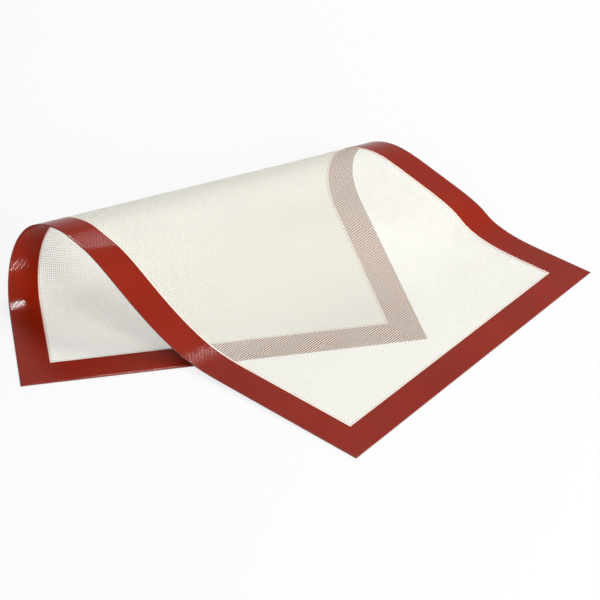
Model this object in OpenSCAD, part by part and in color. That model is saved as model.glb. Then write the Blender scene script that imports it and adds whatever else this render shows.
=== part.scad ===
// Baking mat: a flat sheet of silicone-coated glass fabric, folded once over itself.
// A place on the flat sheet is (u, v): u runs across it from the left edge, v along it from the front edge.
// The sheet keeps its size when it bends. It is a row of flat strips, each turned a little from the one
// before it, about a line that leans across the sheet. Five bends share out the turns. The lower leaf lies
// flat, and the upper leaf comes back over it and down to the table beyond its front and right edges.

/* [Sheet] */
// Width of the flat mat, across its short side
mat_w = 315; // [260:1:345]
// Length of the flat mat, along its long side
mat_l = 520; // [500:1:640]
// Width of the coloured border band
border_w = 24.5; // [12:0.5:36]
// Width of the bead that seals the cut edge of the fabric
bead_w = 1.2; // [0.6:0.1:3]

/* [Layers] */
// Thickness of the woven glass fabric
fabric_t = 0.3; // [0.2:0.02:0.36]
// Thickness of the clear silicone coat on each face
coat_t = 0.12; // [0.08:0.01:0.16]
// Thickness of the coloured band on each face
band_t = 0.1; // [0.06:0.01:0.14]

/* [Lift: the sheet leaves the table] */
// Distance from the front edge to the middle of the bend, on the centre line
lift_at = 178; // [172:0.5:186]
// Length of sheet that the bend takes up
lift_run = 92; // [80:1:100]
// Angle that the sheet turns through
lift_turn = 79; // [74:0.5:84]
// Angle that the bend line leans across the sheet
lift_lean = 22.5; // [18:0.5:26]

/* [Crest: the sheet turns back over itself] */
// Distance from the front edge to the middle of the bend, on the centre line
crest_at = 220; // [212:0.5:226]
// Length of sheet that the bend takes up
crest_run = 92; // [80:1:100]
// Angle that the sheet turns through
crest_turn = 90.5; // [85:0.5:96]
// Angle that the bend line leans across the sheet
crest_lean = 17.5; // [15:0.5:20]

/* [Fall: the sheet heads down] */
// Distance from the front edge to the middle of the bend, on the centre line
fall_at = 263; // [256:0.5:270]
// Length of sheet that the bend takes up
fall_run = 50; // [40:1:60]
// Angle that the sheet turns through
fall_turn = 27; // [23:0.5:30]
// Angle that the bend line leans across the sheet
fall_lean = 17.5; // [15:0.5:20]

/* [Brow: the last downward bend, above the lower leaf's front edge] */
// Distance from the front edge to the middle of the bend, on the centre line
brow_at = 324; // [316:0.5:332]
// Length of sheet that the bend takes up
brow_run = 50; // [40:1:60]
// Angle that the sheet turns through
brow_turn = 23; // [20:0.5:26]
// Angle that the bend line leans across the sheet
brow_lean = 27; // [24:0.5:29]

/* [Landing: the sheet flattens out onto the table] */
// Length of sheet that the bend takes up
landing_run = 120; // [100:1:130]
// Clearance under the end leaf, where it crosses the lower leaf's corner
leaf_gap = 0.25; // [0.1:0.05:1]

/* [Hidden] */

fabric_colour = [0.94, 0.95, 0.92];
coat_colour = [0.93, 0.92, 0.86];
band_colour = [0.56, 0.19, 0.15];
bead_colour = [0.35, 0.12, 0.1];

// Flat strips that the five bends are shared out over
strips = 80;
// Share of their pitch that the fold lines keep at least, where they draw together at the sheet's sides
least_pitch = 0.1;
// Where the landing is looked for first: its place, turn and lean
landing_guess = [390, -38, 15];
// Steps of the search for the landing, and the small changes that it tries
search_steps = 6;
search_nudge = [0.5, 0.1, 0.1];
// Heights of the layers' faces above the table, on the lower leaf
back_coat_z = band_t;
fabric_z = back_coat_z + coat_t;
face_coat_z = fabric_z + fabric_t;
face_band_z = face_coat_z + coat_t;
mat_t = face_band_z + band_t;
// Across and along directions of the lower leaf. They lay the line where it leaves the table along X.
first_across = [cos(lift_lean), -sin(lift_lean), 0];
first_along = [sin(lift_lean), cos(lift_lean), 0];

// One row for each bend: place, run, turn, lean
given_bends = [
    [lift_at, lift_run, lift_turn, lift_lean],
    [crest_at, crest_run, crest_turn, crest_lean],
    [fall_at, fall_run, fall_turn, fall_lean],
    [brow_at, brow_run, brow_turn, brow_lean]
];
function all_bends(landing) =
    concat(given_bends, [[landing[0], landing_run, landing[1], landing[2]]]);

function total(list) = list * [for (x = list) 1];

// Angle that one bend has turned the sheet through by the time it reaches v. The curvature swells from
// nothing to its peak in the middle of the run and fades again, so that bends join without a kink.
function turned_by(bend, v) =
    let (part = max(-0.5, min(0.5, (v - bend[0]) / bend[1])))
    bend[2] * (part + 0.5 + sin(360 * part) / (2 * PI));

function rotated(p, axis, angle) =
    p * cos(angle) + cross(axis, p) * sin(angle) + axis * (axis * p) * (1 - cos(angle));

// Slope of the fold line at v, after one at v_before. It comes as near the slope wanted as it can without
// meeting the line before it, or the band at the far end, anywhere on the sheet.
function next_slope(before, wanted, v_before, v) =
    let (
        ease = (1 - least_pitch) * 2 / mat_w,
        reach = ease * (v - v_before),
        room = ease * (mat_l - border_w - v)
    )
    max(before - reach, -room, min(before + reach, room, wanted));
function fold_slopes(places, wanted) = [
    for (
        i = 0, slope = next_slope(0, wanted[0], border_w, places[0]);
        i < len(places);
        slope = i + 1 < len(places) ? next_slope(slope, wanted[i + 1], places[i], places[i + 1]) : 0,
        i = i + 1
    ) slope
];

// The rows where the sheet is cut into strips: v on the centre line, the slope of the fold line there
// and the angle that it is folded by. The rows near both ends are square to the sheet and stay flat.
function fold_rows(bends) =
    let (
        first = min([for (b = bends) b[0] - b[1] / 2]),
        last = max([for (b = bends) b[0] + b[1] / 2]),
        step = (last - first) / strips,
        leans = [for (b = bends) [b[0], tan(b[3])]],
        places = [for (i = [0:strips]) first + i * step],
        slopes = fold_slopes(places, [for (v = places) lookup(v, leans)])
    )
    concat(
        [[0, 0, 0], [bead_w, 0, 0], [border_w, 0, 0]],
        [for (i = [0:strips]) let (
            v = places[i],
            from = i == 0 ? 0 : v - step / 2,
            to = i == strips ? mat_l : v + step / 2
        ) [v, slopes[i], total([for (b = bends) turned_by(b, to) - turned_by(b, from)])]],
        [[mat_l - border_w, 0, 0], [mat_l - bead_w, 0, 0], [mat_l, 0, 0]]
    );

// A frame holds a row's middle point, the sheet's across and along directions before the fold, those
// after it, and the slope of the fold line.
function folded(point, across, along, row) =
    let (
        line = across + row[1] * along,
        axis = line / norm(line)
    )
    [point, across, along, rotated(across, axis, row[2]), rotated(along, axis, row[2]), row[1]];
function next_frame(f, row, gap) = folded(f[0] + gap * f[4], f[3], f[4], row);
function frames_of(rows) = [
    for (
        i = 0, f = folded([0, 0, mat_t / 2], first_across, first_along, rows[0]);
        i < len(rows);
        f = i + 1 < len(rows) ? next_frame(f, rows[i + 1], rows[i + 1][0] - rows[i][0]) : f,
        i = i + 1
    ) f
];

// How far a trial landing misses: the end edge's tilt, the end leaf's slope and the end edge's height.
// The end leaf slopes down from above the lower leaf's corner to the table, over its overhang beyond that.
function miss(landing) =
    let (
        frames = frames_of(fold_rows(all_bends(landing))),
        end = frames[len(frames) - 1],
        corner = mat_w / 2 * first_across + [0, 0, mat_t / 2],
        overhang = (end[0] - corner) * end[4]
    )
    [end[3].z, end[4].z + (mat_t + leaf_gap) / overhang, (end[0].z - mat_t / 2) / mat_l];

function det(a, b, c) = a * cross(b, c);

// The landing is found, not set: its place, turn and lean bring the end edge flat onto the table.
function found_landing(landing, steps) =
    steps == 0 ? landing :
    let (
        m = miss(landing),
        a = (miss(landing + [search_nudge[0], 0, 0]) - m) / search_nudge[0],
        b = (miss(landing + [0, search_nudge[1], 0]) - m) / search_nudge[1],
        c = (miss(landing + [0, 0, search_nudge[2]]) - m) / search_nudge[2],
        fix = [det(m, b, c), det(a, m, c), det(a, b, m)] / det(a, b, c)
    )
    found_landing(landing - fix, steps - 1);

frames = frames_of(fold_rows(all_bends(found_landing(landing_guess, search_steps))));
last_row = len(frames) - 1;

// Point of the bent sheet on a row, at u across and at a height above the sheet's underside
function bent(row, u, height) =
    let (
        f = frames[row],
        before = cross(f[1], f[2]),
        after = cross(f[3], f[4]),
        normal = (before + after) / (1 + before * after)
    )
    f[0] + (u - mat_w / 2) * (f[1] + f[5] * f[2]) + (height - mat_t / 2) * normal;

// The origin is on the table, under the middle of the folded mat
outline = [for (i = [0:last_row], u = [0, mat_w], h = [0, mat_t]) bent(i, u, h)];
middle = [for (k = [0, 1]) let (c = [for (p = outline) p[k]]) (min(c) + max(c)) / 2];
function placed(row, u, height) = bent(row, u, height) - [middle.x, middle.y, 0];

// Rows that every layer shares, between the two flat ends
bend_rows = [for (i = [3:last_row - 3]) i];
border_rows = concat([0, 2], bend_rows, [last_row - 2, last_row]);
bead_rows = concat([0, 1], bend_rows, [last_row - 1, last_row]);
inner_rows = concat([1], bend_rows, [last_row - 1]);

function quad(a, b, c, d) = [[a, b, c], [a, c, d]];

// A layer of the bent sheet between two heights. It covers the cells between the rows and columns
// given, less the cells inside the frame of outermost cells where window is true.
module layer(rows, columns, low, high, window = false) {
    m = len(columns);
    n = len(rows);
    points = [for (r = rows, u = columns, h = [low, high]) placed(r, u, h)];
    function at(r, c, top) = (r * m + c) * 2 + top;
    function filled(r, c) =
        r >= 0 && r < n - 1 && c >= 0 && c < m - 1 &&
        !(window && r > 0 && r < n - 2 && c > 0 && c < m - 2);
    faces = [for (r = [0:n - 2], c = [0:m - 2]) if (filled(r, c)) each concat(
        quad(at(r, c, 1), at(r + 1, c, 1), at(r + 1, c + 1, 1), at(r, c + 1, 1)),
        quad(at(r, c, 0), at(r, c + 1, 0), at(r + 1, c + 1, 0), at(r + 1, c, 0)),
        filled(r - 1, c) ? [] : quad(at(r, c, 0), at(r, c, 1), at(r, c + 1, 1), at(r, c + 1, 0)),
        filled(r + 1, c) ? [] :
            quad(at(r + 1, c + 1, 0), at(r + 1, c + 1, 1), at(r + 1, c, 1), at(r + 1, c, 0)),
        filled(r, c - 1) ? [] : quad(at(r + 1, c, 0), at(r + 1, c, 1), at(r, c, 1), at(r, c, 0)),
        filled(r, c + 1) ? [] :
            quad(at(r, c + 1, 0), at(r, c + 1, 1), at(r + 1, c + 1, 1), at(r + 1, c + 1, 0))
    )];
    polyhedron(points = points, faces = faces);
}

module inner_layer(low, high) {
    layer(inner_rows, [bead_w, mat_w - bead_w], low, high);
}

module band(low, high) {
    layer(border_rows, [0, border_w, mat_w - border_w, mat_w], low, high, window = true);
}

module glass_fabric() {
    color(fabric_colour) inner_layer(fabric_z, face_coat_z);
}

module face_coat() {
    color(coat_colour) inner_layer(face_coat_z, face_band_z);
}

module back_coat() {
    color(coat_colour) inner_layer(back_coat_z, fabric_z);
}

module face_band() {
    color(band_colour) band(face_band_z, mat_t);
}

module back_band() {
    color(band_colour) band(0, back_coat_z);
}

module edge_bead() {
    color(bead_colour)
        layer(bead_rows, [0, bead_w, mat_w - bead_w, mat_w], back_coat_z, face_band_z, window = true);
}

glass_fabric();
face_coat();
back_coat();
face_band();
back_band();
edge_bead();
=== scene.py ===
import math

import bpy
import numpy as np
from mathutils import Matrix, Vector


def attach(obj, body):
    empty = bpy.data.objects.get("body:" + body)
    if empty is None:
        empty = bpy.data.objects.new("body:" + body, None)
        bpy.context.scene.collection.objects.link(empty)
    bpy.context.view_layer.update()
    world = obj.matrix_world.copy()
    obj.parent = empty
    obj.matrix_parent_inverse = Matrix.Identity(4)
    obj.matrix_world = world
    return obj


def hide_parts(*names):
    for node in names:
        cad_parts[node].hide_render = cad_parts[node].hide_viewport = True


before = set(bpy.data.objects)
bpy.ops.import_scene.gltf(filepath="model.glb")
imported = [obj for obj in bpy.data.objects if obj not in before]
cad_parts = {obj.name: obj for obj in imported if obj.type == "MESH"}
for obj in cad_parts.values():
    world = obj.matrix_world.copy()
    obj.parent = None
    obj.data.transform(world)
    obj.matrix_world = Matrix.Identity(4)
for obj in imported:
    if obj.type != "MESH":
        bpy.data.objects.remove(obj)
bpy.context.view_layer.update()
print("frame loaded")

# The mat laid flat, in metres: u runs across its short side and v along its long side,
# both from the lower leaf's front left corner. Heights are above its underside.
mat = {
    "width": 0.315,
    "length": 0.520,
    "border": 0.0245,   # width of the red band
    "bead": 0.0012,     # width of the sealed edge
    "tuck": 0.0006,     # how far in from the cut the bands and coats begin, under the sealed edge
    "fabric": 0.0003,   # thicknesses of the layers
    "coat": 0.00012,
    "band": 0.0001,
}
fabricLow = mat["band"] + mat["coat"]
fabricHigh = fabricLow + mat["fabric"]
faceBandLow = fabricHigh + mat["coat"]
matThick = faceBandLow + mat["band"]

# Where the sheet is bent: place on the centre line, run, then turn and lean in degrees
fold = {
    "bends": [(0.178, 0.092, 79.0, 22.5),
              (0.220, 0.092, 90.5, 17.5),
              (0.263, 0.050, 27.0, 17.5),
              (0.324, 0.050, 23.0, 27.0)],
    "landingRun": 0.120,
    "landingGuess": (0.390, -38.0, 15.0),   # place, turn and lean of the last bend, before the search
    "searchNudge": (0.0005, 0.1, 0.1),      # small changes of these, to see what each one does
    "searchSteps": 6,
    "leafGap": 0.00025,                     # clearance over the lower leaf's corner
    "strips": 480,                          # flat strips that make up the bends
    "leastPitch": 0.1,                      # share of their pitch that the fold lines keep at the sides
    "columns": 25,                          # points of the guide across the sheet
    "overhang": 0.002,                      # how far the guide runs past the mat's edges
    "flatScale": 0.6,                       # size of the square that holds the flat guide
}
leavesTableAt = math.radians(fold["bends"][0][3])
firstAcross = np.array([math.cos(leavesTableAt), -math.sin(leavesTableAt), 0.0])
firstAlong = np.array([math.sin(leavesTableAt), math.cos(leavesTableAt), 0.0])


def turnedBy(middle, run, turn, v):   # the curvature swells from nothing to its peak and fades again
    part = np.clip((v - middle) / run, -0.5, 0.5)
    return turn * (part + 0.5 + np.sin(2 * np.pi * part) / (2 * np.pi))


def rotated(p, axis, angle):
    turned = p * math.cos(angle) + np.cross(axis, p) * math.sin(angle)
    return turned + axis * (axis @ p) * (1 - math.cos(angle))


def foldRows(landing):   # rows across the sheet: their places, the slopes of their lines, their turns
    middle, turn, lean = landing
    bends = fold["bends"] + [(middle, fold["landingRun"], turn, lean)]
    middles, runs, turns, leans = np.array(bends).T
    first = (middles - runs / 2).min()
    last = (middles + runs / 2).max()
    step = (last - first) / fold["strips"]
    places = first + step * np.arange(fold["strips"] + 1)
    wanted = np.interp(places, middles, np.tan(np.radians(leans)))
    ease = (1 - fold["leastPitch"]) * 2 / mat["width"]
    slopes = []
    slope, before = 0.0, mat["border"]
    for v, wish in zip(places, wanted):   # fold lines next to each other never meet on the sheet
        reach = ease * (v - before)
        room = ease * (mat["length"] - mat["border"] - v)
        slope = max(slope - reach, -room, min(slope + reach, room, wish))
        before = v
        slopes.append(slope)
    cuts = np.concatenate([[0.0], places[1:] - step / 2, [mat["length"]]])
    turned = sum(turnedBy(*bend, cuts) for bend in zip(middles, runs, turns))
    angles = np.radians(np.diff(turned))
    flatStart = [(v, 0.0, 0.0) for v in (0.0, mat["border"])]
    flatEnd = [(v, 0.0, 0.0) for v in (mat["length"] - mat["border"], mat["length"])]
    return flatStart + list(zip(places, slopes, angles)) + flatEnd


def foldedRows(rows):   # where each row lies once folded, and the sheet's directions just beyond it
    found = []
    point, before = np.array([0.0, 0.0, matThick / 2]), 0.0
    across, along = firstAcross, firstAlong
    for v, slope, angle in rows:
        point = point + (v - before) * along
        before = v
        ruling = across + slope * along
        axis = ruling / np.linalg.norm(ruling)
        nextAcross, nextAlong = rotated(across, axis, angle), rotated(along, axis, angle)
        normal = np.cross(across, along) + np.cross(nextAcross, nextAlong)
        across, along = nextAcross, nextAlong
        found.append({"point": point, "ruling": ruling, "normal": normal / np.linalg.norm(normal),
                      "across": across, "along": along})
    return found


def landingMiss(landing):   # the end edge's tilt, the end leaf's slope and the end edge's height
    end = foldedRows(foldRows(landing))[-1]
    lowerCorner = mat["width"] / 2 * firstAcross + np.array([0.0, 0.0, matThick / 2])
    beyond = (end["point"] - lowerCorner) @ end["along"]   # from the lower leaf's corner to the end
    slope = end["along"][2] + (matThick + fold["leafGap"]) / beyond
    height = (end["point"][2] - matThick / 2) / mat["length"]
    return np.array([end["across"][2], slope, height])


def foundLanding():   # Newton's method on the last bend's place, turn and lean
    landing = np.array(fold["landingGuess"])
    nudges = np.diag(fold["searchNudge"])
    for _ in range(fold["searchSteps"]):
        miss = landingMiss(landing)
        change = [(landingMiss(landing + nudge) - miss) / nudge.sum() for nudge in nudges]
        landing = landing - np.linalg.solve(np.array(change).T, miss)
    return landing


def gridFaces(rows, columns):   # quads of a grid of points, row by row
    return [(r * columns + c, r * columns + c + 1, (r + 1) * columns + c + 1, (r + 1) * columns + c)
            for r in range(rows - 1) for c in range(columns - 1)]


def foldGuide():   # the folded sheet's middle surface, which holds its flat place as a UV map
    rows = foldRows(foundLanding())
    found = foldedRows(rows)
    points = np.array([f["point"] for f in found])
    rulings = np.array([f["ruling"] for f in found])
    normals = np.array([f["normal"] for f in found])
    half = mat["width"] / 2
    edges = [points + side * half * rulings + lift * matThick / 2 * normals
             for side in (-1, 1) for lift in (-1, 1)]
    corners = np.concatenate(edges)
    middle = (corners.min(0) + corners.max(0)) / 2   # comes to lie over the frame's origin
    middle[2] = 0.0
    places = np.array([r[0] for r in rows])
    slopes = np.array([r[1] for r in rows])
    points[0] -= fold["overhang"] * firstAlong
    points[-1] += fold["overhang"] * found[-1]["along"]
    places[0] -= fold["overhang"]
    places[-1] += fold["overhang"]
    us = np.linspace(-fold["overhang"], mat["width"] + fold["overhang"], fold["columns"])
    bent = points[:, None] + (us - half)[None, :, None] * rulings[:, None] - middle
    flat = np.stack(np.broadcast_arrays(us[None], places[:, None] + slopes[:, None] * (us - half)), -1)
    mesh = bpy.data.meshes.new("foldGuide")
    mesh.from_pydata(bent.reshape(-1, 3).tolist(), [], gridFaces(len(rows), len(us)))
    spread = (flat.reshape(-1, 2) + fold["overhang"]) / fold["flatScale"]
    corner = np.zeros(len(mesh.loops), np.int32)
    mesh.loops.foreach_get("vertex_index", corner)
    mesh.uv_layers.new(name="flatGuide").data.foreach_set("uv", spread[corner].ravel())
    normal = mesh.attributes.new("sheetNormal", "FLOAT_VECTOR", "POINT")
    normal.data.foreach_set("vector", np.repeat(normals, len(us), 0).ravel())
    guide = bpy.data.objects.new("foldGuide", mesh)
    bpy.context.scene.collection.objects.link(guide)
    guide.hide_render = True
    return guide


# Short ways to make nodes
def feed(tree, socket, value):
    if isinstance(value, bpy.types.NodeSocket):
        tree.links.new(value, socket)
    else:
        socket.default_value = value


def named(sockets, name):
    return next(s for s in sockets if s.enabled and s.name == name)


def add(tree, kind, feeds=None, **settings):
    node = tree.nodes.new(kind)
    for name, value in settings.items():
        setattr(node, name, value)
    for name, value in (feeds or {}).items():
        feed(tree, named(node.inputs, name), value)
    return node


def out(node, name=None):
    return named(node.outputs, name) if name else next(s for s in node.outputs if s.enabled)


def calc(tree, operation, *values):
    node = add(tree, "ShaderNodeMath", operation=operation)
    for socket, value in zip(node.inputs, values):
        feed(tree, socket, value)
    return node.outputs[0]


def newGroup(name, kind, inputs, outputs):
    tree = bpy.data.node_groups.new(name, kind)
    for label, socketType in inputs:
        tree.interface.new_socket(name=label, in_out="INPUT", socket_type="NodeSocket" + socketType)
    for label, socketType in outputs:
        tree.interface.new_socket(name=label, in_out="OUTPUT", socket_type="NodeSocket" + socketType)
    source, result = tree.nodes.new("NodeGroupInput"), tree.nodes.new("NodeGroupOutput")
    return tree, source.outputs, result


def placeGroup(tree, group, feeds):
    kind = "GeometryNodeGroup" if tree.bl_idname == "GeometryNodeTree" else "ShaderNodeGroup"
    node = tree.nodes.new(kind)
    node.node_tree = group
    for name, value in feeds.items():
        feed(tree, node.inputs[name], value)
    return node.outputs


def attribute(tree, name, dataType="FLOAT_VECTOR"):
    return out(add(tree, "GeometryNodeInputNamedAttribute", {"Name": name}, data_type=dataType))


def storeOn(tree, geometry, name, value, dataType, domain="POINT"):
    feeds = {"Geometry": geometry, "Name": name, "Value": value}
    return out(add(tree, "GeometryNodeStoreNamedAttribute", feeds, data_type=dataType, domain=domain))


def knuckleWave(tree, place, first, pitch):   # swings from 1 to -1 and back between yarns
    turns = calc(tree, "DIVIDE", calc(tree, "SUBTRACT", place, first), pitch)
    return turns, calc(tree, "COSINE", calc(tree, "MULTIPLY", turns, math.pi))


# Node groups that fold the flat layers
def foldedPlaceGroup():   # where a flat place (u, v, height) comes to lie on the folded sheet
    tree, given, result = newGroup("foldedPlace", "GeometryNodeTree", [
        ("Guide", "Object"), ("Flat Place", "Vector")], [("Position", "Vector")])
    guide = out(add(tree, "GeometryNodeObjectInfo", {"Object": given["Guide"]}), "Geometry")
    parts = add(tree, "ShaderNodeSeparateXYZ", {"Vector": given["Flat Place"]}).outputs
    onGuide = [calc(tree, "DIVIDE", calc(tree, "ADD", parts[k], fold["overhang"]), fold["flatScale"])
               for k in (0, 1)]
    spread = out(add(tree, "ShaderNodeCombineXYZ", {"X": onGuide[0], "Y": onGuide[1]}))

    def sampled(value):
        feeds = {"Mesh": guide, "Value": value, "UV Map": attribute(tree, "flatGuide"),
                 "Sample UV": spread}
        return out(add(tree, "GeometryNodeSampleUVSurface", feeds, data_type="FLOAT_VECTOR"), "Value")

    point = sampled(out(add(tree, "GeometryNodeInputPosition")))
    normal = sampled(attribute(tree, "sheetNormal"))
    unit = out(add(tree, "ShaderNodeVectorMath", {"Vector": normal}, operation="NORMALIZE"), "Vector")
    height = calc(tree, "SUBTRACT", parts[2], matThick / 2)
    lift = add(tree, "ShaderNodeVectorMath", {"Vector": unit, "Scale": height}, operation="SCALE")
    moved = add(tree, "ShaderNodeVectorMath", operation="ADD")
    feed(tree, moved.inputs[0], point)
    feed(tree, moved.inputs[1], out(lift, "Vector"))
    tree.links.new(out(moved, "Vector"), result.inputs["Position"])
    return tree


def finishTree(tree, geometry, given, result, foldedPlace):   # folds, maps and dresses a flat layer
    feeds = {"Guide": given["Guide"], "Flat Place": attribute(tree, "flatPlace")}
    position = placeGroup(tree, foldedPlace, feeds)["Position"]
    bent = out(add(tree, "GeometryNodeSetPosition", {"Geometry": geometry, "Position": position}))
    mapped = storeOn(tree, bent, "flat", attribute(tree, "flatPlace"), "FLOAT2", "CORNER")
    smooth = out(add(tree, "GeometryNodeSetShadeSmooth", {"Geometry": mapped}))
    real = out(add(tree, "GeometryNodeRealizeInstances", {"Geometry": smooth}))
    dressed = add(tree, "GeometryNodeSetMaterial", {"Geometry": real, "Material": given["Material"]})
    tree.links.new(out(dressed), result.inputs["Geometry"])
    return tree


def wovenYarnsTree(foldedPlace):   # flat ribbons side by side that rise and dip at the crossings
    tree, given, result = newGroup("wovenYarns", "GeometryNodeTree", [
        ("Guide", "Object"), ("Yarns", "Int"), ("Crossings", "Int"), ("First Yarn", "Float"),
        ("Yarn Pitch", "Float"), ("First Crossing", "Float"), ("Crossing Pitch", "Float"),
        ("Yarn Width", "Float"), ("Crimp", "Float"), ("Height", "Float"), ("Run Across", "Bool"),
        ("Seed", "Int"), ("Material", "Material")], [("Geometry", "Geometry")])
    columns = calc(tree, "MULTIPLY", given["Yarns"], 2)
    gridFeeds = {"Vertices X": columns, "Vertices Y": given["Crossings"]}
    grid = out(add(tree, "GeometryNodeMeshGrid", gridFeeds))
    index = out(add(tree, "GeometryNodeInputIndex"))
    column = calc(tree, "FLOOR", calc(tree, "DIVIDE", index, given["Crossings"]))
    crossing = calc(tree, "MODULO", index, given["Crossings"])
    yarn = calc(tree, "FLOOR", calc(tree, "DIVIDE", column, 2.0))
    side = calc(tree, "SUBTRACT", calc(tree, "MULTIPLY", calc(tree, "MODULO", column, 2.0), 2.0), 1.0)
    across = calc(tree, "MULTIPLY_ADD", yarn, given["Yarn Pitch"], given["First Yarn"])
    across = calc(tree, "MULTIPLY_ADD", side, calc(tree, "DIVIDE", given["Yarn Width"], 2.0), across)
    along = calc(tree, "MULTIPLY_ADD", crossing, given["Crossing Pitch"], given["First Crossing"])
    odd = calc(tree, "MODULO", calc(tree, "ADD", yarn, crossing), 2.0)
    rise = calc(tree, "MULTIPLY_ADD", odd, -2.0, 1.0)
    height = calc(tree, "MULTIPLY_ADD", rise, given["Crimp"], given["Height"])
    lengthwise = out(add(tree, "ShaderNodeCombineXYZ", {"X": across, "Y": along, "Z": height}))
    crosswise = out(add(tree, "ShaderNodeCombineXYZ", {"X": along, "Y": across, "Z": height}))
    place = out(add(tree, "GeometryNodeSwitch", {"Switch": given["Run Across"], "False": lengthwise,
                                                 "True": crosswise}, input_type="VECTOR"))
    stored = storeOn(tree, grid, "flatPlace", place, "FLOAT_VECTOR")
    stored = storeOn(tree, stored, "across", side, "FLOAT")
    tone = add(tree, "FunctionNodeRandomValue", {"ID": yarn, "Seed": given["Seed"]}, data_type="FLOAT")
    stored = storeOn(tree, stored, "yarnTone", out(tone), "FLOAT")
    cells = calc(tree, "SUBTRACT", given["Crossings"], 1.0)   # faces of the grid along one ribbon
    gap = calc(tree, "MODULO", calc(tree, "FLOOR", calc(tree, "DIVIDE", index, cells)), 2.0)
    ribbons = out(add(tree, "GeometryNodeDeleteGeometry", {"Geometry": stored, "Selection": gap},
                      domain="FACE"))
    flipFeeds = {"Mesh": ribbons, "Selection": given["Run Across"]}
    facing = out(add(tree, "GeometryNodeFlipFaces", flipFeeds))
    return finishTree(tree, facing, given, result, foldedPlace)


def foldLayerTree(foldedPlace):   # a flat layer whose outer face rises over the yarns' knuckles
    tree, given, result = newGroup("foldLayer", "GeometryNodeTree", [
        ("Geometry", "Geometry"), ("Guide", "Object"), ("Relief", "Float"), ("First U", "Float"),
        ("Pitch U", "Float"), ("First V", "Float"), ("Pitch V", "Float"), ("Material", "Material")],
        [("Geometry", "Geometry")])
    position = out(add(tree, "GeometryNodeInputPosition"))
    parts = add(tree, "ShaderNodeSeparateXYZ", {"Vector": position}).outputs
    waves = [knuckleWave(tree, parts[k], given["First " + axis], given["Pitch " + axis])[1]
             for k, axis in enumerate("UV")]
    relief = calc(tree, "MULTIPLY", given["Relief"], attribute(tree, "outer", "FLOAT"))
    rise = calc(tree, "MULTIPLY", calc(tree, "MULTIPLY", *waves), relief)
    raised = {"X": parts[0], "Y": parts[1], "Z": calc(tree, "ADD", parts[2], rise)}
    place = out(add(tree, "ShaderNodeCombineXYZ", raised))
    stored = storeOn(tree, given["Geometry"], "flatPlace", place, "FLOAT_VECTOR")
    return finishTree(tree, stored, given, result, foldedPlace)


def folded(name, flat, tree, sizes):   # runs the tree on a flat mesh and keeps its result
    piece = bpy.data.objects.new(name, flat)
    bpy.context.scene.collection.objects.link(piece)
    modifier = piece.modifiers.new("fold", "NODES")
    modifier.node_group = tree
    sockets = {s.name: s.identifier for s in tree.interface.items_tree if s.in_out == "INPUT"}
    for label, value in sizes.items():
        modifier[sockets[label]] = value
    depsgraph = bpy.context.evaluated_depsgraph_get()
    mesh = bpy.data.meshes.new_from_object(piece.evaluated_get(depsgraph), depsgraph=depsgraph)
    piece.modifiers.clear()
    piece.data = mesh
    mesh.name = name
    for spare in ("flatPlace", "outer"):
        if spare in mesh.attributes:
            mesh.attributes.remove(mesh.attributes[spare])
    print(f"{name}: {len(mesh.polygons)} faces")
    return piece


# The glass fabric: the long yarns are the warp and the cross yarns the weft
weave = {
    "pitchU": 0.0017,    # spacing of the long yarns, across the mat
    "pitchV": 0.00193,   # spacing of the cross yarns, along it
    "yarn": 0.00051,     # width of a flattened yarn
    "crimp": 0.00009,    # how far a yarn rises and dips at the crossings
    "seed": 7,           # of each yarn's own tone
}


def yarnLayout(size, pitch):   # how many yarns fit between the sealed edges, and where the first lies
    count = int((size - 2 * mat["bead"] - weave["yarn"]) / pitch) + 1
    return count, (size - (count - 1) * pitch) / 2


warpCount, firstWarp = yarnLayout(mat["width"], weave["pitchU"])
weftCount, firstWeft = yarnLayout(mat["length"], weave["pitchV"])


# Flat meshes of the silicone layers
def spaced(stops, cell):   # stops with even steps of about one cell between them
    parts = []
    for a, b in zip(stops, stops[1:]):
        parts.append(np.linspace(a, b, max(2, round((b - a) / cell) + 1))[:-1])
    return np.concatenate(parts + [[stops[-1]]])


def flatGrid(us, vs, height):   # points of a flat grid, row by row
    return np.stack(np.broadcast_arrays(us[None], vs[:, None], height), -1).reshape(-1, 3)


def flatMesh(points, faces, outer=None):   # leaves out points that no face uses
    used, faces = np.unique(faces, return_inverse=True)
    mesh = bpy.data.meshes.new("flat")
    mesh.from_pydata(points[used].tolist(), [], faces.reshape(-1, 4).tolist())
    values = np.zeros(len(used)) if outer is None else outer[used]
    mesh.attributes.new("outer", "FLOAT", "POINT").data.foreach_set("value", values)
    return mesh


bands = {
    "relief": 0.00007,    # how far the outer face rises and dips over the weave
    "cellsPerPitch": 2,   # mesh cells from one yarn to the next
}


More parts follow.
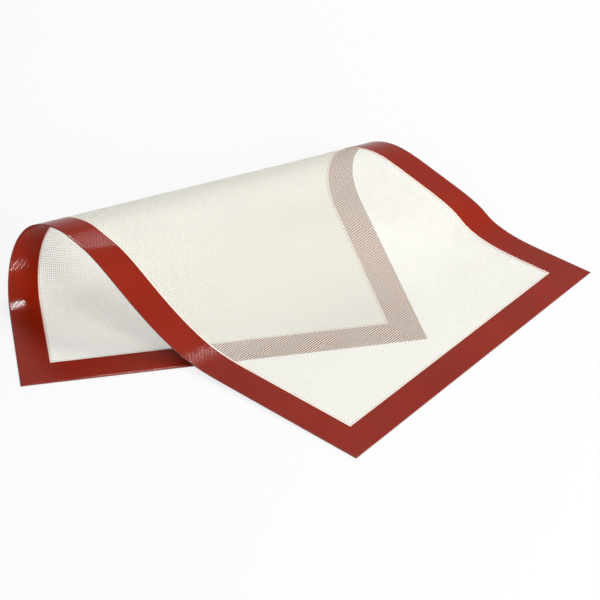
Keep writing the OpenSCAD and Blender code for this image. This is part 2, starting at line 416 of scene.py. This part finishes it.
def bandLayer(low, high, outerTop):   # a closed ring with a window inside, and relief on one face
    def stops(size):
        return [mat["tuck"], mat["border"], size - mat["border"], size - mat["tuck"]]

    def inBand(places, size):
        middles = (places[:-1] + places[1:]) / 2
        return (middles < mat["border"]) | (middles > size - mat["border"])

    us = spaced(stops(mat["width"]), weave["pitchU"] / bands["cellsPerPitch"])
    vs = spaced(stops(mat["length"]), weave["pitchV"] / bands["cellsPerPitch"])
    filled = inBand(vs, mat["length"])[:, None] | inBand(us, mat["width"])[None, :]
    count = len(us) * len(vs)
    cells = np.argwhere(filled)
    corner = cells[:, 0] * len(us) + cells[:, 1]
    quads = np.stack([corner, corner + 1, corner + len(us) + 1, corner + len(us)], 1)
    faces = [quads + count, quads[:, ::-1]]
    padded = np.pad(filled, 1)
    # for each side of a cell: the row and column steps to its neighbour, and its two corners
    for rowStep, columnStep, a, b in ((-1, 0, 0, 1), (0, 1, 1, 2), (1, 0, 2, 3), (0, -1, 3, 0)):
        bare = ~padded[cells[:, 0] + 1 + rowStep, cells[:, 1] + 1 + columnStep]
        wall = quads[bare]
        faces.append(np.stack([wall[:, a], wall[:, b], wall[:, b] + count, wall[:, a] + count], 1))
    flat = flatGrid(us, vs, 0.0)
    points = np.concatenate([flat + [0, 0, low], flat + [0, 0, high]])
    outer = np.repeat([not outerTop, outerTop], count).astype(float)
    return flatMesh(points, np.concatenate(faces), outer)


coats = {
    "cellU": 0.0035,    # size of the mesh's cells
    "cellV": 0.0013,
    "inset": 0.00001,   # how far the skins stay clear of the bands
}


def coatLayer(height, up):   # one skin, which faces up or down
    us = spaced([mat["tuck"], mat["width"] - mat["tuck"]], coats["cellU"])
    vs = spaced([mat["tuck"], mat["length"] - mat["tuck"]], coats["cellV"])
    faces = np.array(gridFaces(len(vs), len(us)))
    return flatMesh(flatGrid(us, vs, height), faces if up else faces[:, ::-1])


rim = {
    "proud": 0.00012,   # how far the sealed edge bulges beyond the cut
    "swell": 0.00003,   # and above the bands
    "arc": 8,           # steps of its rounded section
}


def beadLayer():   # a round-edged strip all round the cut, mitred at the corners
    half = matThick / 2 + rim["swell"]
    angles = np.linspace(-math.pi / 2, math.pi / 2, rim["arc"] + 1)
    arc = [(half - rim["proud"] - half * math.cos(a), matThick / 2 + half * math.sin(a)) for a in angles]
    profile = [(mat["bead"], mat["band"])] + arc + [(mat["bead"], matThick - mat["band"])]
    us = spaced([0.0, mat["width"]], coats["cellU"])
    vs = spaced([0.0, mat["length"]], coats["cellV"])
    sides = [[(u, 0.0) for u in us[:-1]], [(mat["width"], v) for v in vs[:-1]],
             [(u, mat["length"]) for u in us[:0:-1]], [(0.0, v) for v in vs[:0:-1]]]
    path = np.array([p for side in sides for p in side])
    size = np.array([mat["width"], mat["length"]])
    share = path / size
    rings = []
    for depth, height in profile:   # each point of the profile is a smaller rectangle of the same path
        rings.append(np.column_stack([depth + share * (size - 2 * depth), np.full(len(path), height)]))
    ringCount, turns = len(rings), len(path)
    faces = [(k * turns + i, k * turns + (i + 1) % turns,
              (k + 1) % ringCount * turns + (i + 1) % turns, (k + 1) % ringCount * turns + i)
             for k in range(ringCount) for i in range(turns)]
    return flatMesh(np.concatenate(rings), np.array(faces)[:, ::-1])


# Materials
noiseSpan = (0.3, 0.7)   # nearly all of a noise's values lie between these


def newMaterial(name, finish):
    material = bpy.data.materials.new(name)
    material.use_nodes = True
    tree = material.node_tree
    shader = next(n for n in tree.nodes if n.type == "BSDF_PRINCIPLED")
    for label, value in finish.items():
        shader.inputs[label].default_value = value
    return material, tree, shader


def flatUv(tree):
    return out(add(tree, "ShaderNodeUVMap", uv_map="flat"))


def mixed(tree, factor, a, b):
    node = add(tree, "ShaderNodeMix", {"Factor": factor}, data_type="RGBA")
    feed(tree, named(node.inputs, "A"), a)
    feed(tree, named(node.inputs, "B"), b)
    return out(node, "Result")


def remapped(tree, value, fromLow, fromHigh, toLow, toHigh):
    feeds = {"Value": value, "From Min": fromLow, "From Max": fromHigh, "To Min": toLow,
             "To Max": toHigh}
    return out(add(tree, "ShaderNodeMapRange", feeds))


def noiseAt(tree, scale, detail):
    feeds = {"Vector": flatUv(tree), "Scale": scale, "Detail": detail}
    return out(add(tree, "ShaderNodeTexNoise", feeds))


def spreadNoise(tree, pattern, low, high):   # a noise of that scale and detail, from low to high
    return remapped(tree, noiseAt(tree, *pattern), *noiseSpan, low, high)


def bump(tree, shader, height, distance):
    node = add(tree, "ShaderNodeBump", {"Strength": 1.0, "Distance": distance, "Height": height})
    tree.links.new(out(node), shader.inputs["Normal"])


def letLightThrough(tree, alpha, share):   # thins a layer for the light's rays, not for the eye's
    path = add(tree, "ShaderNodeLightPath").outputs
    unseen = calc(tree, "MAXIMUM", path["Is Shadow Ray"], path["Is Diffuse Ray"])
    return calc(tree, "MULTIPLY", alpha, calc(tree, "MULTIPLY_ADD", unseen, -share, 1.0))


def matWeaveGroup():   # the weave's knuckles and the see-through windows between the yarns
    tree, given, result = newGroup("matWeave", "ShaderNodeTree", [
        ("Place", "Vector"), ("First U", "Float"), ("Pitch U", "Float"), ("First V", "Float"),
        ("Pitch V", "Float"), ("Half Yarn", "Float")], [("Knuckle", "Float"), ("Window", "Float")])
    parts = add(tree, "ShaderNodeSeparateXYZ", {"Vector": given["Place"]}).outputs
    waves, clears = [], []
    for k, axis in enumerate("UV"):
        pitch = given["Pitch " + axis]
        turns, wave = knuckleWave(tree, parts[k], given["First " + axis], pitch)
        away = calc(tree, "ABSOLUTE", calc(tree, "SUBTRACT", calc(tree, "FRACT", turns), 0.5))
        halfWindow = calc(tree, "SUBTRACT", 0.5, calc(tree, "DIVIDE", given["Half Yarn"], pitch))
        waves.append(wave)
        clears.append(calc(tree, "LESS_THAN", away, halfWindow))
    tree.links.new(calc(tree, "MULTIPLY", *waves), result.inputs["Knuckle"])
    tree.links.new(calc(tree, "MULTIPLY", *clears), result.inputs["Window"])
    return tree


def weaveAt(tree, group):
    return placeGroup(tree, group, {
        "Place": flatUv(tree), "First U": firstWarp, "Pitch U": weave["pitchU"],
        "First V": firstWeft, "Pitch V": weave["pitchV"], "Half Yarn": weave["yarn"] / 2})


def bandEdgeGroup():   # distance from the band's inner edge, positive on the field
    tree, given, result = newGroup("bandEdge", "ShaderNodeTree", [
        ("Place", "Vector"), ("Width", "Float"), ("Length", "Float"), ("Border", "Float")],
        [("Distance", "Float")])
    parts = add(tree, "ShaderNodeSeparateXYZ", {"Vector": given["Place"]}).outputs
    insets = []
    for k, size in enumerate(("Width", "Length")):
        half = calc(tree, "DIVIDE", given[size], 2.0)
        away = calc(tree, "ABSOLUTE", calc(tree, "SUBTRACT", parts[k], half))
        insets.append(calc(tree, "SUBTRACT", calc(tree, "SUBTRACT", half, given["Border"]), away))
    tree.links.new(calc(tree, "MINIMUM", *insets), result.inputs["Distance"])
    return tree


redSilicone = {
    "finish": {"Specular IOR Level": 0.14},
    "deep": (0.25, 0.012, 0.002, 1),
    "bright": (0.30, 0.017, 0.004, 1),
    "mottle": (14.0, 3.0),       # scale and detail of the change between the two
    "dotPaintedLight": 0.12,             # painted light: how much brighter the raised dots are painted, as if they caught the lamps
    "dotHeight": 0.00004,
    "roughness": (0.10, 0.15),
    "smears": (60.0, 2.0),       # scale and detail of the change in roughness
    "grain": (900.0, 2.0),
    "grainHeight": 0.2,          # share of the dots' height
}


def redBandMaterial(weaveGroup):
    material, tree, shader = newMaterial("redSilicone", redSilicone["finish"])
    knuckle = weaveAt(tree, weaveGroup)["Knuckle"]
    mottle = spreadNoise(tree, redSilicone["mottle"], 0.0, 1.0)
    # the mottle is the red's own tone; the raised dots are painted lighter over it, as painted light
    tone = calc(tree, "MULTIPLY_ADD", knuckle, redSilicone["dotPaintedLight"], mottle)
    colour = mixed(tree, tone, redSilicone["deep"], redSilicone["bright"])
    tree.links.new(colour, shader.inputs["Base Color"])
    roughness = spreadNoise(tree, redSilicone["smears"], *redSilicone["roughness"])
    tree.links.new(roughness, shader.inputs["Roughness"])
    grain = noiseAt(tree, *redSilicone["grain"])
    height = calc(tree, "MULTIPLY_ADD", grain, redSilicone["grainHeight"], knuckle)
    bump(tree, shader, height, redSilicone["dotHeight"])
    return material


clearSilicone = {
    "finish": {"Roughness": 0.35, "Specular IOR Level": 0.3},
    "colour": (0.90, 0.89, 0.79, 1),
    "windowHaze": 0.04,      # how much the coat hides over a window, and over a yarn
    "yarnHaze": 0.16,
    "lightThrough": 0.35,    # share of the haze that light doesn't meet
    "fillet": (1.0, 0.82, 0.71, 1),
    "filletWidth": 0.0008,   # full to here from the band's inner edge, and gone by filletEnd
    "filletEnd": 0.0022,
    "filletHaze": 0.9,
}


def clearCoatMaterial(weaveGroup, edgeGroup):   # a peach fillet runs along the band's inner edge
    material, tree, shader = newMaterial("clearSilicone", clearSilicone["finish"])
    window = weaveAt(tree, weaveGroup)["Window"]
    change = clearSilicone["windowHaze"] - clearSilicone["yarnHaze"]
    haze = calc(tree, "MULTIPLY_ADD", window, change, clearSilicone["yarnHaze"])
    edgeFeeds = {"Place": flatUv(tree), "Width": mat["width"], "Length": mat["length"],
                 "Border": mat["border"]}
    away = placeGroup(tree, edgeGroup, edgeFeeds)["Distance"]
    ends = clearSilicone["filletEnd"], clearSilicone["filletWidth"]
    fillet = remapped(tree, away, *ends, 0.0, 1.0)
    alpha = calc(tree, "MAXIMUM", haze, calc(tree, "MULTIPLY", fillet, clearSilicone["filletHaze"]))
    thinned = letLightThrough(tree, alpha, clearSilicone["lightThrough"])
    tree.links.new(thinned, shader.inputs["Alpha"])
    colour = mixed(tree, fillet, clearSilicone["colour"], clearSilicone["fillet"])
    tree.links.new(colour, shader.inputs["Base Color"])
    return material


glassYarn = {
    "finish": {"Roughness": 0.45, "Specular IOR Level": 0.35},
    # a yarn's colour runs from shade to light: painted shade and painted light by its crossings and
    # sides, and its own tone from yarn to yarn
    "shade": (0.84, 0.82, 0.69, 1),
    "light": (1.0, 0.98, 0.87, 1),
    "knucklePaintedShading": 0.35,      # painted light and shade: how far the tone swings from one crossing to the next, lighter where a long yarn lies on top and darker at the others
    "yarnTone": 0.15,         # how far the yarn's own tone swings from yarn to yarn
    "sidePaintedShade": 0.25,         # painted shade: how much darker a yarn's sides are painted
    "filaments": 9.0,         # turns, in radians, of the streaks from a yarn's middle to its side
    "streakHeight": 0.06,     # share of the crown
    "crown": 0.00008,         # height of a yarn's rounded top
    "lightThrough": 0.35,     # share of the light that passes through a yarn
}


def glassYarnMaterial(weaveGroup):   # painted light where the long yarns lie on top, seen from the face, painted shade at the other crossings and on each yarn's sides
    material, tree, shader = newMaterial("glassYarn", glassYarn["finish"])
    across = add(tree, "ShaderNodeAttribute", attribute_name="across").outputs["Fac"]
    tone = add(tree, "ShaderNodeAttribute", attribute_name="yarnTone").outputs["Fac"]
    side = calc(tree, "MULTIPLY", across, across)
    knuckle = weaveAt(tree, weaveGroup)["Knuckle"]
    # the mix: painted light and shade from the crossings, the yarn's own tone, then painted shade on its
    # sides
    middle = 1 - glassYarn["knucklePaintedShading"] - glassYarn["yarnTone"] + glassYarn["sidePaintedShade"] / 2
    shade = calc(tree, "MULTIPLY_ADD", knuckle, glassYarn["knucklePaintedShading"], middle)
    shade = calc(tree, "MULTIPLY_ADD", tone, glassYarn["yarnTone"], shade)
    shade = calc(tree, "MULTIPLY_ADD", side, -glassYarn["sidePaintedShade"], shade)
    colour = mixed(tree, shade, glassYarn["shade"], glassYarn["light"])
    tree.links.new(colour, shader.inputs["Base Color"])
    thinned = letLightThrough(tree, 1.0, glassYarn["lightThrough"])
    tree.links.new(thinned, shader.inputs["Alpha"])
    streak = calc(tree, "SINE", calc(tree, "MULTIPLY", across, glassYarn["filaments"]))
    crown = calc(tree, "SUBTRACT", 1.0, side)
    height = calc(tree, "MULTIPLY_ADD", streak, glassYarn["streakHeight"], crown)
    bump(tree, shader, height, glassYarn["crown"])
    return material


edgeSilicone = {
    "finish": {"Specular IOR Level": 0.15},
    "dark": (0.17, 0.022, 0.013, 1),
    "paler": (0.25, 0.055, 0.038, 1),
    "patchiness": (120.0, 3.0),        # scale and detail of the change between the two, in random patches
    "roughness": (0.4, 0.55),
    "smears": (200.0, 2.0),      # scale and detail of the change in roughness
    "grain": (1500.0, 2.0),
    "grainHeight": 0.00002,
}


def edgeMaterial():
    material, tree, shader = newMaterial("edgeSilicone", edgeSilicone["finish"])
    patchiness = spreadNoise(tree, edgeSilicone["patchiness"], 0.0, 1.0)
    colour = mixed(tree, patchiness, edgeSilicone["dark"], edgeSilicone["paler"])
    tree.links.new(colour, shader.inputs["Base Color"])
    roughness = spreadNoise(tree, edgeSilicone["smears"], *edgeSilicone["roughness"])
    tree.links.new(roughness, shader.inputs["Roughness"])
    bump(tree, shader, noiseAt(tree, *edgeSilicone["grain"]), edgeSilicone["grainHeight"])
    return material


# The pieces, each with the CAD node that it stands for and its material slot
standsFor = {
    "long_yarns": ("glass_fabric", "glass_fabric"),
    "cross_yarns": ("glass_fabric", "glass_fabric"),
    "face_silicone": ("face_coat", "clear_silicone"),
    "back_silicone": ("back_coat", "clear_silicone"),
    "face_border": ("face_band", "red_silicone"),
    "back_border": ("back_band", "red_silicone"),
    "sealed_edge": ("edge_bead", "edge_silicone"),
}


def buildYarns(guide, foldedPlace, material):
    shared = {"Guide": guide, "Yarn Width": weave["yarn"], "Height": (fabricLow + fabricHigh) / 2,
              "Seed": weave["seed"], "Material": material}
    warpSizes = {"Yarns": warpCount, "Crossings": weftCount, "First Yarn": firstWarp,
                 "Yarn Pitch": weave["pitchU"], "First Crossing": firstWeft,
                 "Crossing Pitch": weave["pitchV"], "Crimp": weave["crimp"], "Run Across": False}
    weftSizes = {"Yarns": weftCount, "Crossings": warpCount, "First Yarn": firstWeft,
                 "Yarn Pitch": weave["pitchV"], "First Crossing": firstWarp,
                 "Crossing Pitch": weave["pitchU"], "Crimp": -weave["crimp"], "Run Across": True}
    tree = wovenYarnsTree(foldedPlace)
    return {name: folded(name, bpy.data.meshes.new(name), tree, {**shared, **sizes})
            for name, sizes in (("long_yarns", warpSizes), ("cross_yarns", weftSizes))}


def buildLayers(guide, foldedPlace, clear, red, edge):
    shared = {"Guide": guide, "First U": firstWarp, "Pitch U": weave["pitchU"],
              "First V": firstWeft, "Pitch V": weave["pitchV"]}
    layers = {   # each layer's flat mesh, relief and material
        "face_silicone": (coatLayer(faceBandLow - coats["inset"], True), 0.0, clear),
        "back_silicone": (coatLayer(mat["band"] + coats["inset"], False), 0.0, clear),
        "face_border": (bandLayer(faceBandLow, matThick, True), bands["relief"], red),
        "back_border": (bandLayer(0.0, mat["band"], False), bands["relief"], red),
        "sealed_edge": (beadLayer(), 0.0, edge),
    }
    tree = foldLayerTree(foldedPlace)
    return {name: folded(name, flat, tree, {**shared, "Relief": relief, "Material": material})
            for name, (flat, relief, material) in layers.items()}


def buildMat():
    guide = foldGuide()
    print("sheet folded")
    foldedPlace = foldedPlaceGroup()
    weaveGroup = matWeaveGroup()
    clear = clearCoatMaterial(weaveGroup, bandEdgeGroup())
    yarns = buildYarns(guide, foldedPlace, glassYarnMaterial(weaveGroup))
    layers = buildLayers(guide, foldedPlace, clear, redBandMaterial(weaveGroup), edgeMaterial())
    bpy.data.objects.remove(guide)
    return {**yarns, **layers}


pieces = buildMat()
for name, (node, slot) in standsFor.items():
    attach(pieces[name], "root")
    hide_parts(node)
print("mat built")

# Camera, floor and light
photoCamera = {
    "lens": 102.41,
    "azimuth": 36.132,     # degrees round from the front, -Y, towards the left, -X
    "elevation": 34.881,
    "roll": 1.566,
    "distance": 1.3712,
    "target": (0.0076, 0.0220, 0.0),
}


def makeCamera():
    a, e = math.radians(photoCamera["azimuth"]), math.radians(photoCamera["elevation"])
    back = Vector((-math.sin(a) * math.cos(e), -math.cos(a) * math.cos(e), math.sin(e)))
    camera = bpy.data.objects.new("camera", bpy.data.cameras.new("camera"))
    bpy.context.scene.collection.objects.link(camera)
    camera.data.lens = photoCamera["lens"]
    right = (-back).cross(Vector((0, 0, 1))).normalized()
    up = back.cross(right)
    level = Matrix((right, up, back)).transposed().to_4x4()
    roll = Matrix.Rotation(math.radians(photoCamera["roll"]), 4, "Z")
    place = Matrix.Translation(Vector(photoCamera["target"]) + back * photoCamera["distance"])
    camera.matrix_world = place @ level @ roll
    bpy.context.scene.camera = camera


def seenRays(tree):   # camera, mirror and glass rays, which see the white background
    path = add(tree, "ShaderNodeLightPath").outputs
    seen = calc(tree, "MAXIMUM", path["Is Camera Ray"], path["Is Glossy Ray"])
    return calc(tree, "MAXIMUM", seen, path["Is Transmission Ray"])


paleFloor = {
    "size": 14.0,
    "drop": 0.00015,   # lies under the relief of the band that rests on it
    "colour": (0.95, 0.95, 0.95, 1),
    "glow": 0.80,      # share of its white that takes no shadow
}


def makeFloor():
    half = paleFloor["size"] / 2
    corners = [(x * half, y * half, -paleFloor["drop"]) for x, y in ((-1, -1), (1, -1), (1, 1), (-1, 1))]
    mesh = bpy.data.meshes.new("floor")
    mesh.from_pydata(corners, [], [(0, 1, 2, 3)])
    floor = bpy.data.objects.new("floor", mesh)
    bpy.context.scene.collection.objects.link(floor)
    material = bpy.data.materials.new("paleFloor")
    material.use_nodes = True
    tree = material.node_tree
    tree.nodes.clear()
    both = add(tree, "ShaderNodeMixShader")
    feed(tree, both.inputs[0], calc(tree, "MULTIPLY", seenRays(tree), paleFloor["glow"]))
    feed(tree, both.inputs[1], out(add(tree, "ShaderNodeBsdfDiffuse", {"Color": paleFloor["colour"]})))
    feed(tree, both.inputs[2], out(add(tree, "ShaderNodeEmission")))
    tree.links.new(out(both), add(tree, "ShaderNodeOutputMaterial").inputs["Surface"])
    mesh.materials.append(material)


studio = {
    "worldLight": 0.40,
    "lampDistance": 1.5,
    # each lamp's direction, size (its first side level) and power;
    # a glint shows in gloss alone, and the other lamps in diffuse light alone
    "lamps": {
        "key": ((0.44, 0.37, 0.82), (0.30, 0.30), 7.6),
        "keyGlint": ((0.44, 0.37, 0.82), (0.12, 0.07), 3.0),
        "sideGlint": ((0.13, 0.32, 0.94), (0.10, 0.06), 26.0),
        "front": ((0.16, -0.90, 0.36), (0.45, 0.45), 13.5),
        "frontGlint": ((0.26, -0.95, 0.13), (0.20, 0.12), 15.0),
        "low": ((-0.45, -0.85, 0.15), (0.45, 0.45), 5.0),
    },
}


def makeLight():
    world = bpy.data.worlds.new("studio")
    world.use_nodes = True
    tree = world.node_tree
    background = next(n for n in tree.nodes if n.type == "BACKGROUND")
    background.inputs["Color"].default_value = (1, 1, 1, 1)
    strength = remapped(tree, seenRays(tree), 0.0, 1.0, studio["worldLight"], 1.0)
    tree.links.new(strength, background.inputs["Strength"])
    bpy.context.scene.world = world
    for name, (direction, size, power) in studio["lamps"].items():
        lamp = bpy.data.objects.new(name, bpy.data.lights.new(name, "AREA"))
        bpy.context.scene.collection.objects.link(lamp)
        lamp.data.energy = power
        lamp.data.shape = "RECTANGLE"
        lamp.data.size, lamp.data.size_y = size
        towards = Vector(direction).normalized()
        lamp.location = towards * studio["lampDistance"]
        lamp.rotation_euler = towards.to_track_quat("Z", "Y").to_euler()
        lamp.visible_camera = False
        lamp.visible_glossy = "Glint" in name
        lamp.visible_diffuse = not lamp.visible_glossy


makeCamera()
makeFloor()
makeLight()
bpy.context.scene.view_settings.view_transform = "Standard"
print("studio set")
